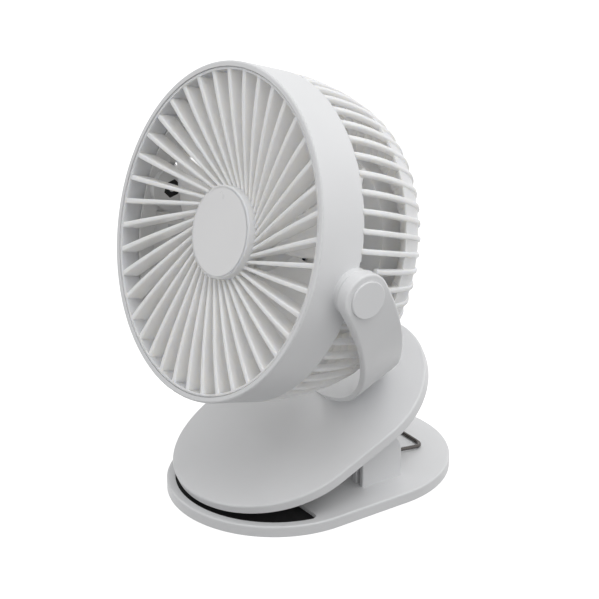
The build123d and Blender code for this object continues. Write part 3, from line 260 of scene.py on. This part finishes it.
MATERIALS = {
    # Its faint blue tint is painted cool fill light on the outer shell.
    "white_plastic": moulded("white_plastic", (0.76, 0.765, 0.775), 0.38),
    # A lighter, warmer copy of white_plastic for the inside of the head: its warmth is painted warm
    # bounce light.
    "inner_plastic": moulded("inner_plastic", (0.80, 0.80, 0.785), 0.45),
    # The same white plastic again, lighter and warmer still: painted light for the shaded inside of the
    # head. The light shining into thin plastic is real.
    "milky_plastic": moulded("milky_plastic", (0.95, 0.94, 0.92), 0.36, milky=1.0),
    "badge_plastic": moulded("badge_plastic", (0.84, 0.84, 0.845), 0.30, depth=0.001 * MM),
    "black_rubber": rubber("black_rubber", (0.010, 0.010, 0.011)),
    # Its dark colour is painted reflection: it stands in for dark surroundings mirrored in the wire.
    "spring_steel": metal("spring_steel", (0.13, 0.12, 0.115), 0.20),
    "zinc_steel": metal("zinc_steel", (0.60, 0.60, 0.61), 0.34),
    "plate_steel": metal("plate_steel", (0.42, 0.42, 0.43), 0.42, grain=(1, 0.05, 1)),
    "dark_steel": metal("dark_steel", (0.045, 0.045, 0.047), 0.38),
    "bronze": metal("bronze", (0.55, 0.38, 0.20), 0.45),
    "ferrite": moulded("ferrite", (0.06, 0.06, 0.065), 0.65, texture_size=0.15 * MM, depth=0.02 * MM),
    "copper_core": wound_core("copper_core"),
    "cell_wrap": moulded("cell_wrap", (0.22, 0.27, 0.40), 0.25),
    "board": circuit("board"),
    "black_plastic": moulded("black_plastic", (0.02, 0.02, 0.021), 0.45),
    "lens": light_guide("lens"),
    "washer_nylon": moulded("washer_nylon", (0.72, 0.72, 0.68), 0.45),
}


def dress_cad_nodes():
    """Every carried-over piece gets its own slot's material, and thin white ones a milky one, lighter and
    warmer than the outer white: painted light in the shaded inside of the head.
    """
    slots = frame["record"]["materials"]
    known = {entry["slot"] for entry in slots}
    for name, node in frame["nodes"].items():
        for place in node.material_slots:
            slot_name = place.material.name.split(".")[0] if place.material else ""
            if name in MILKY_NODES:
                place.material = MATERIALS["milky_plastic"]
            elif slot_name in known:
                place.material = MATERIALS[slot_name]


# ---- mesh helpers ----
def mesh_piece(name, points, faces, material, body, node, place=None):
    """A smooth mesh that rides on a body and stands for a node of the frame."""
    mesh = bpy.data.meshes.new(name)
    mesh.from_pydata([tuple(place @ p if place else p) for p in points], [], faces)
    mesh.validate()
    mesh.update()
    mesh.shade_smooth()
    piece = bpy.data.objects.new(name, mesh)
    bpy.context.scene.collection.objects.link(piece)
    mesh.materials.append(MATERIALS[material])
    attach(piece, body)
    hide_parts(node)
    return piece


def arc(centre, r, start, end, steps):
    """Points on an arc in a plane, from one angle to another."""
    turns = [start + (end - start) * k / steps for k in range(steps + 1)]
    return [Vector((centre[0] + r * cos(t), centre[1] + r * sin(t))) for t in turns]


def shifted(outline, inset):
    """A closed outline, run anticlockwise, moved inwards by a distance."""
    moved = []
    for before, point, after in zip(outline[-1:] + outline[:-1], outline, outline[1:] + outline[:1]):
        way_in = (point - before).normalized()
        way_out = (after - point).normalized()
        normal = Vector((-way_in.y - way_out.y, way_in.x + way_out.x)).normalized()
        share = max(0.5, normal.dot(Vector((-way_in.y, way_in.x))))
        moved.append(point + normal * (inset / share))
    return moved


def rounded_slab(outline, bottom, top, bottom_round, top_round, steps=5):
    """Points and faces of a flat piece whose rims are rounded."""
    levels = []
    for k in range(steps + 1):
        turn = pi / 2 * k / steps
        levels.append((bottom_round * (1 - sin(turn)), bottom + bottom_round * (1 - cos(turn))))
    for k in range(steps + 1):
        turn = pi / 2 * k / steps
        levels.append((top_round * (1 - cos(turn)), top - top_round * (1 - sin(turn))))
    points = []
    for inset, z in levels:
        points += [Vector((p.x, p.y, z)) for p in shifted(outline, inset)]
    count = len(outline)
    faces = []
    for level in range(len(levels) - 1):
        for k in range(count):
            a = level * count + k
            b = level * count + (k + 1) % count
            faces.append((a, b, b + count, a + count))
    faces.append(tuple(reversed(range(count))))
    last = (len(levels) - 1) * count
    faces.append(tuple(range(last, last + count)))
    return points, faces


# ---- rubber pads ----
def base_pad_outline(steps=96):
    """The pad's front is round with the base's end, and its rear is cut straight."""
    centre = (0, -BASE_HALF_STRAIGHT)
    rise = PAD_REAR_Y - PAD_CORNER_R + BASE_HALF_STRAIGHT
    reach = sqrt((PAD_R - PAD_CORNER_R) ** 2 - rise**2)
    corner = (reach, PAD_REAR_Y - PAD_CORNER_R)
    low = atan2(rise, reach)
    front = arc(centre, PAD_R, -pi - low, low, steps)
    right = arc(corner, PAD_CORNER_R, low, pi / 2, 8)
    left = arc((-reach, corner[1]), PAD_CORNER_R, pi / 2, pi - low, 8)
    return front[:-1] + right + left[:-1]


def jaw_pad_outline(steps=48):
    """From the tip round the jaw's end, moved inwards, to a straight rear edge and back."""
    r = JAW_END_R - JAW_PAD_INSET
    right = arc((0, -JAW_HALF_STRAIGHT), r, -pi / 2, 0, steps) + [Vector((r, JAW_PAD_REAR))]
    left = [Vector((-p.x, p.y)) for p in reversed(right[1:])]
    return right + left


def stadium_outline(r, half_straight, steps=48):
    front = arc((0, -half_straight), r, -pi, 0, steps)
    rear = arc((0, half_straight), r, 0, pi, steps)
    return front + rear


def barred_cap(points, ring, upward, bars=24):
    """Faces that close a symmetric ring with bars from its right side to its left."""
    rows = []
    for k in range(1, (len(ring) + 1) // 2):
        right, left = ring[k], ring[-k]
        row = [right]
        for j in range(1, bars):
            row.append(len(points))
            points.append(points[right].lerp(points[left], j / bars))
        rows.append(row + [left])
    faces = [(ring[0], a, b) for a, b in zip(rows[0], rows[0][1:])]
    for row, following in zip(rows, rows[1:]):
        for j in range(bars):
            faces.append((row[j], following[j], following[j + 1], row[j + 1]))
    return faces if upward else [tuple(reversed(face)) for face in faces]


def domed(point):
    """A point of a flat slab, moved to where the jaw's dome takes it."""
    level = JAW_DOME_R + point.z
    return Vector((point.x, point.y, sqrt(level**2 - point.x**2) - JAW_DOME_R))


def jaw_place():
    """From the jaw's own frame, in the middle of its top face, to the row frame."""
    low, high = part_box("hinge_pin")
    pin = (low + high) / 2
    tilt = Matrix.Rotation(JAW_TILT, 4, "X")
    return Matrix.Translation(pin) @ tilt @ Matrix.Translation((0, -JAW_PIN_BACK, JAW_PIN_DROP))


def make_pads():
    low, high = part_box("base_pad")
    points, faces = rounded_slab(base_pad_outline(), low.z, high.z, 0, PAD_ROUNDING)
    mesh_piece("base_pad_rubber", points, faces, "black_rubber", "base", "base_pad")
    low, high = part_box("foot_pad")
    outline = stadium_outline(high.x, BASE_HALF_STRAIGHT)
    points, faces = rounded_slab(outline, low.z, high.z, PAD_ROUNDING, 0)
    mesh_piece("foot_pad_rubber", points, faces, "black_rubber", "base", "foot_pad")
    outline = jaw_pad_outline()
    points, faces = rounded_slab(outline, -JAW_T - JAW_PAD_T, -JAW_T, JAW_PAD_ROUNDING, 0)
    count = len(outline)
    top = list(range(len(points) - count, len(points)))
    faces = faces[:-2] + barred_cap(points, list(range(count)), False)
    faces += barred_cap(points, top, True)
    points = [domed(p) for p in points]
    mesh_piece("jaw_pad_rubber", points, faces, "black_rubber", "jaw", "jaw_pad", jaw_place())


# ---- torsion spring ----
def tube(path, r):
    """Points and faces of a round wire along a path, with ends rounded over."""
    normal = None
    points = []
    rings = []
    ways = []
    for k in range(len(path)):
        before = path[max(0, k - 1)]
        after = path[min(len(path) - 1, k + 1)]
        ways.append((after - before).normalized())
    cap = [(r * (1 - cos(t)), r * sin(t)) for t in WIRE_END_TURNS]
    stations = [(path[0] + ways[0] * back, ways[0], width) for back, width in cap]
    stations += [(p, w, r) for p, w in zip(path[1:-1], ways[1:-1]) if (p - path[0]).length > r]
    stations += [(path[-1] - ways[-1] * back, ways[-1], width) for back, width in reversed(cap)]
    for middle, way, width in stations:
        if normal is None:
            normal = way.orthogonal().normalized()
        normal = (normal - way * normal.dot(way)).normalized()
        side = way.cross(normal)
        ring = []
        for j in range(WIRE_SIDES):
            turn = 2 * pi * j / WIRE_SIDES
            ring.append(len(points))
            points.append(middle + (normal * cos(turn) + side * sin(turn)) * width)
        rings.append(ring)
    faces = []
    for ring, following in zip(rings, rings[1:]):
        for j in range(WIRE_SIDES):
            n = (j + 1) % WIRE_SIDES
            faces.append((ring[j], ring[n], following[n], following[j]))
    faces.append(tuple(reversed(rings[0])))
    faces.append(tuple(rings[-1]))
    return points, faces


def spring_sizes():
    """The pin, the resting wire's height, and the angles at which the coil meets its two legs."""
    low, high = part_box("hinge_pin")
    pin = (low + high) / 2
    rest_z = BASE_TOP_Z + WIRE_R
    drop = pin.z - rest_z
    run = SPRING_REAR_Y - pin.y
    low_turn = atan2(drop, run) - asin(COIL_R / hypot(drop, run))
    top_turn = 2 * pi * COIL_TURNS + pi - SPRING_UP_ANGLE
    return pin, rest_z, low_turn, top_turn


def coil_points(start, end):
    """The coil between two turns, on the right-hand side."""
    pin = spring_sizes()[0]
    count = ceil((end - start) / COIL_STEP)
    points = []
    for k in range(count + 1):
        turned = start + (end - start) * k / count
        angle = -pi / 2 - turned
        x = COIL_INNER_X + COIL_PITCH * turned / (2 * pi)
        points.append(Vector((x, pin.y + COIL_R * cos(angle), pin.z + COIL_R * sin(angle))))
    return points


def straight(start, end, spacing=1.0 * MM):
    count = ceil((end - start).length / spacing)
    return [start.lerp(end, k / count) for k in range(count + 1)]


def bend(before, corner, after, r, steps=16):
    """The arc that rounds a corner."""
    way_in = (before - corner).normalized()
    way_out = (after - corner).normalized()
    half = way_in.angle(way_out) / 2
    middle = (way_in + way_out).normalized()
    centre = corner + middle * (r / sin(half))
    first = corner + way_in * (r / (sin(half) / cos(half)))
    start = first - centre
    across = (way_in * -1 - start.normalized() * start.normalized().dot(way_in * -1)).normalized()
    sweep = pi - 2 * half
    return [
        centre + (start.normalized() * cos(sweep * k / steps) + across * sin(sweep * k / steps)) * r
        for k in range(steps + 1)
    ]


def make_spring():
    """The wire bears on the base with its U and lower legs, and its upper legs turn with the jaw."""
    rest_z, low_turn, top_turn = spring_sizes()[1:]
    low = coil_points(low_turn, low_turn + COIL_STEP)[0]
    middle = Vector((0, SPRING_REAR_Y, rest_z))
    corner = Vector((low.x, SPRING_REAR_Y, rest_z))
    curve = bend(middle, corner, low, SPRING_BEND_R)
    right = straight(middle, curve[0])[:-1] + curve + straight(curve[-1], low)[1:-1]
    right += coil_points(low_turn, top_turn)
    left = [Vector((-p.x, p.y, p.z)) for p in reversed(right)]
    points, faces = tube(left[:-1] + right, WIRE_R)
    mesh_piece("spring_coils", points, faces, "spring_steel", "base", "torsion_spring")

    lean = SPRING_UP_ANGLE - JAW_TILT
    space = JAW_PIN_DROP - JAW_SEAT_DROP - BRACKET_T - WIRE_R - MOVING_GAP
    reach = (space - COIL_R * cos(lean)) / sin(lean)
    way = Vector((0, cos(SPRING_UP_ANGLE), sin(SPRING_UP_ANGLE)))
    end_arc = coil_points(top_turn - SPRING_JAW_ARC, top_turn)
    leg = end_arc + straight(end_arc[-1], end_arc[-1] + way * reach)[1:]
    for side, name in ((1, "spring_leg_right"), (-1, "spring_leg_left")):
        path = [Vector((side * p.x, p.y, p.z)) for p in leg]
        points, faces = tube(path, WIRE_R + LEG_PROUD)
        if side < 0:
            faces = [tuple(reversed(f)) for f in faces]
        mesh_piece(name, points, faces, "spring_steel", "jaw", "torsion_spring")


# ---- stage, lights and camera ----
def camera_rays(tree):
    """1 where a camera, glossy or transmission ray looks, and 0 for light on the object."""
    path = tree.nodes.new("ShaderNodeLightPath")
    total = path.outputs["Is Camera Ray"]
    for name in ("Is Glossy Ray", "Is Transmission Ray"):
        add = tree.nodes.new("ShaderNodeMath")
        add.operation = "MAXIMUM"
        tree.links.new(total, add.inputs[0])
        tree.links.new(path.outputs[name], add.inputs[1])
        total = add.outputs["Value"]
    return total


def make_world():
    """White where it is looked at, and softer where it lights the fan."""
    world = bpy.data.worlds.new("studio")
    world.use_nodes = True
    tree = world.node_tree
    background = tree.nodes["Background"]
    background.inputs["Color"].default_value = (1, 1, 1, 1)
    strength = tree.nodes.new("ShaderNodeMapRange")
    strength.inputs["To Min"].default_value = AMBIENT
    strength.inputs["To Max"].default_value = 1.0
    tree.links.new(camera_rays(tree), strength.inputs["Value"])
    tree.links.new(strength.outputs["Result"], background.inputs["Strength"])
    bpy.context.scene.world = world


def make_floor():
    """A grey floor that throws little light back, and glows white where it is looked at."""
    material, tree, shader = new_material("floor")
    shader.inputs["Base Color"].default_value = (0.30, 0.30, 0.30, 1)
    shader.inputs["Roughness"].default_value = 0.9
    shader.inputs["Specular IOR Level"].default_value = 0.0
    emission = tree.nodes.new("ShaderNodeEmission")
    strength = tree.nodes.new("ShaderNodeMath")
    strength.operation = "MULTIPLY"
    strength.inputs[1].default_value = FLOOR_GLOW
    tree.links.new(camera_rays(tree), strength.inputs[0])
    tree.links.new(strength.outputs["Value"], emission.inputs["Strength"])
    add = tree.nodes.new("ShaderNodeAddShader")
    output = next(n for n in tree.nodes if n.type == "OUTPUT_MATERIAL")
    tree.links.new(shader.outputs["BSDF"], add.inputs[0])
    tree.links.new(emission.outputs["Emission"], add.inputs[1])
    tree.links.new(add.outputs["Shader"], output.inputs["Surface"])
    mesh = bpy.data.meshes.new("floor")
    half = FLOOR_SIZE / 2
    corners = [(-half, -half, 0), (half, -half, 0), (half, half, 0), (-half, half, 0)]
    mesh.from_pydata(corners, [], [(0, 1, 2, 3)])
    mesh.materials.append(material)
    floor = bpy.data.objects.new("floor", mesh)
    floor.location.z = cad_box[0][2] - FLOOR_GAP
    bpy.context.scene.collection.objects.link(floor)


def make_lights():
    for name, (at, diameter, power) in LIGHTS.items():
        light = bpy.data.lights.new(name, "AREA")
        light.shape = "DISK"
        light.size = diameter
        light.energy = power
        lamp = bpy.data.objects.new(name, light)
        lamp.location = at
        way = Vector(LIGHT_TARGET) - Vector(at)
        lamp.rotation_euler = way.to_track_quat("-Z", "Y").to_euler()
        bpy.context.scene.collection.objects.link(lamp)


def make_camera():
    camera = bpy.data.cameras.new("camera")
    camera.lens = CAMERA_LENS
    camera.sensor_width = 36.0
    camera.clip_start = 0.01
    back = Vector(
        (
            sin(CAMERA_AZIMUTH) * cos(CAMERA_ELEVATION),
            -cos(CAMERA_AZIMUTH) * cos(CAMERA_ELEVATION),
            sin(CAMERA_ELEVATION),
        )
    )
    viewer = bpy.data.objects.new("camera", camera)
    viewer.location = CAMERA_AT
    viewer.rotation_euler = (-back).to_track_quat("-Z", "Y").to_euler()
    bpy.context.scene.collection.objects.link(viewer)
    bpy.context.scene.camera = viewer


make_camera()
dress_cad_nodes()
make_pads()
make_spring()
make_world()
make_floor()
make_lights()
bpy.context.scene.view_settings.view_transform = "Standard"
